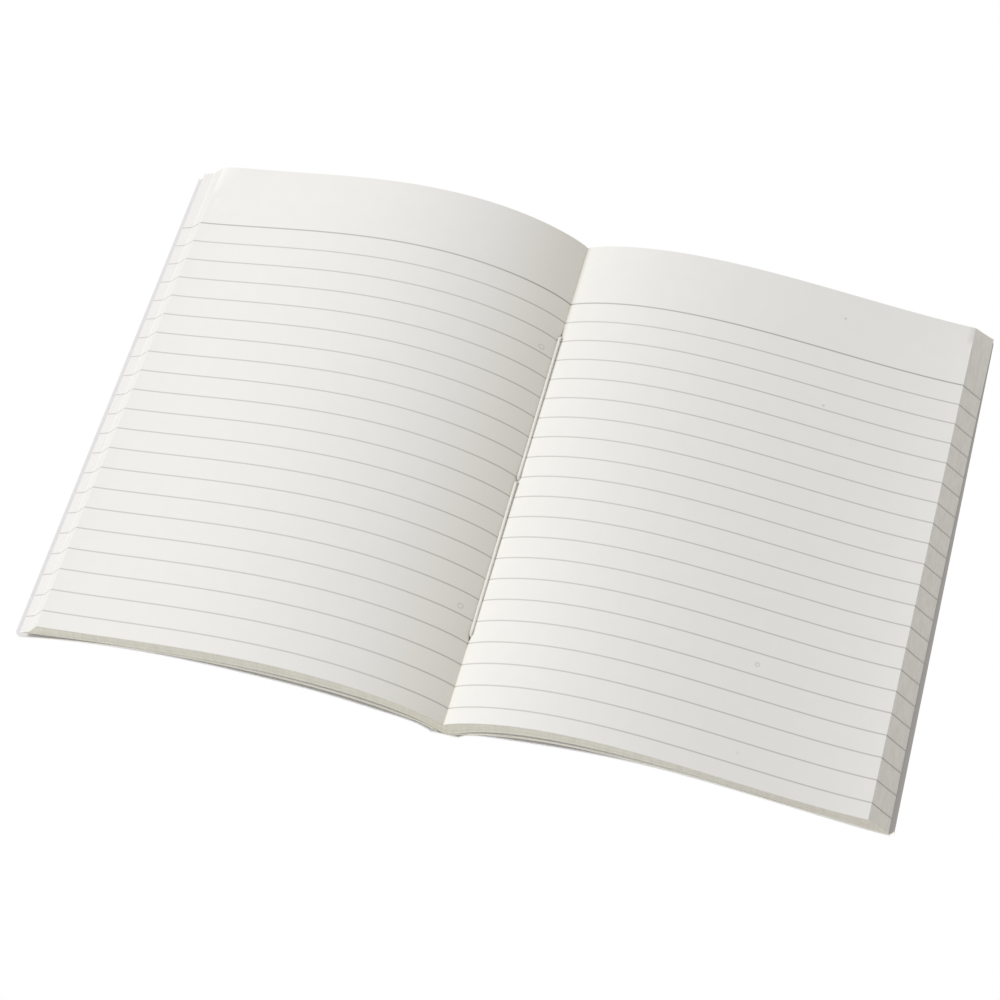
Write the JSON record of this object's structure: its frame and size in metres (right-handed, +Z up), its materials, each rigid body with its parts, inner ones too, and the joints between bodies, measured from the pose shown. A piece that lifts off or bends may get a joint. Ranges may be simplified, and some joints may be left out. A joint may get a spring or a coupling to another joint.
{
  "type": "open composition notebook",
  "caption": "Thread-sewn ruled notebook lying open at its middle, with arched leaves, slanted fore edges and a card cover that hinges at the spine.",
  "frame": {"origin": "underside of the spine on the table, straight below the fold of the leaves, half way between foot and head", "axes": "+X across the spread to the right-hand page, +Y along the spine from foot to head, +Z up from the table"},
  "size_m": [0.3104, 0.21, 0.0239],
  "materials": {
    "leaf_paper": "matt cream-white writing paper with thin grey rules",
    "cover_card": "matt pale grey card with a faint fibre grain",
    "sewing_thread": "twisted off-white cotton thread"
  },
  "bodies": {
    "leaves": {"page_block": "leaf_paper", "sewing_thread": "sewing_thread", "cover_spine": "cover_card"},
    "front_board": {"front_cover": "cover_card"},
    "back_board": {"back_cover": "cover_card"}
  },
  "joints": [
    {"name": "front_cover_hinge", "type": "hinge", "parent": "leaves", "child": "front_board", "pos_m": [-0.0024, 0, 0], "axis": [0, -1, 0], "range_deg": [0, 90]},
    {"name": "back_cover_hinge", "type": "hinge", "parent": "leaves", "child": "back_board", "pos_m": [0.0048, 0, 0], "axis": [0, 1, 0], "range_deg": [0, 90]}
  ]
}
